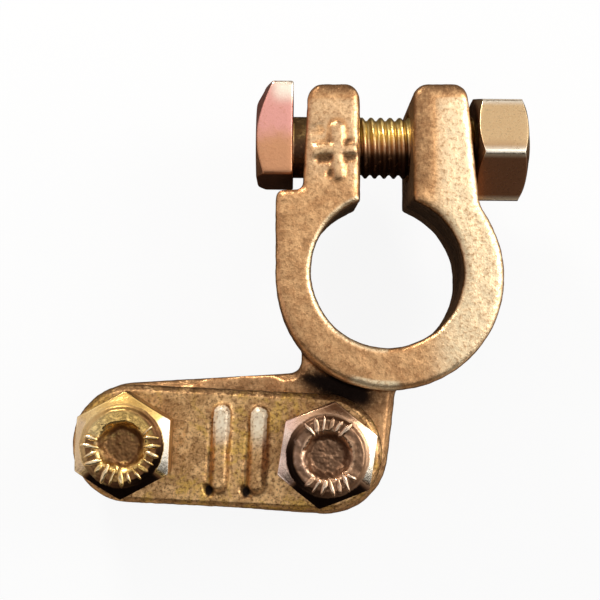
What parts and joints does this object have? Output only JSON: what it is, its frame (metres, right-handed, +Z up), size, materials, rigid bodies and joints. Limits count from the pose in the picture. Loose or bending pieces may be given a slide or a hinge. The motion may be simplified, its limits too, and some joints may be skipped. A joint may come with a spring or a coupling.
{
  "type": "battery terminal clamp",
  "caption": "Split ring clamp for a tapered battery post, drawn shut by a bolt through two ears, with a side arm on which a strap and screws hold the cable.",
  "frame": {"origin": "on the axis of the post at the lower face of the ring", "axes": "+Z up the battery post, +Y from the post towards the split and the ears, +X from the bolt's head towards its nut"},
  "size_m": [0.0598, 0.056, 0.023],
  "materials": {
    "body_brass": "cast, tumbled",
    "strap_brass": "cast, tarnished",
    "clamp_bolt_zinc": "yellow zinc plated",
    "clamp_nut_zinc": "yellow zinc plated",
    "left_screw_zinc": "yellow zinc plated",
    "right_screw_zinc": "yellow zinc plated"
  },
  "bodies": {
    "clamp_body": {"clamp_body": "body_brass"},
    "cable_strap": {"cable_strap": "strap_brass"},
    "clamp_bolt": {"clamp_bolt": "clamp_bolt_zinc"},
    "clamp_nut": {"clamp_nut": "clamp_nut_zinc"},
    "strap_screw_left": {"strap_screw_left": "left_screw_zinc"},
    "strap_screw_right": {"strap_screw_right": "right_screw_zinc"}
  },
  "joints": [
    {"name": "strap_lift", "type": "slide", "parent": "clamp_body", "child": "cable_strap", "axis": [0, 0, 1], "range_m": [0, 0.00625]},
    {"name": "left_screw_turn", "type": "hinge", "parent": "cable_strap", "child": "strap_screw_left", "pos_m": [-0.03354, -0.02178, 0.005], "axis": [0, 0, 1], "range_deg": [0, 1800]},
    {"name": "right_screw_turn", "type": "hinge", "parent": "cable_strap", "child": "strap_screw_right", "pos_m": [-0.00726, -0.02304, 0.005], "axis": [0, 0, 1], "range_deg": [0, 1800]},
    {"name": "clamp_bolt_draw", "type": "slide", "parent": "clamp_body", "child": "clamp_bolt", "axis": [1, -0.0087, 0], "range_m": [-0.005, 0.00125]},
    {"name": "clamp_nut_turn", "type": "hinge", "parent": "clamp_body", "child": "clamp_nut", "pos_m": [0.01162, 0.0169, 0.008], "axis": [1, -0.0087, 0], "range_deg": [-360, 1440]}
  ],
  "couplings": [
    {"joint": "left_screw_turn", "follows": "strap_lift", "rad_per_m": 5026.5},
    {"joint": "right_screw_turn", "follows": "strap_lift", "rad_per_m": 5026.5},
    {"joint": "clamp_nut_turn", "follows": "clamp_bolt_draw", "rad_per_m": -5026.5}
  ]
}
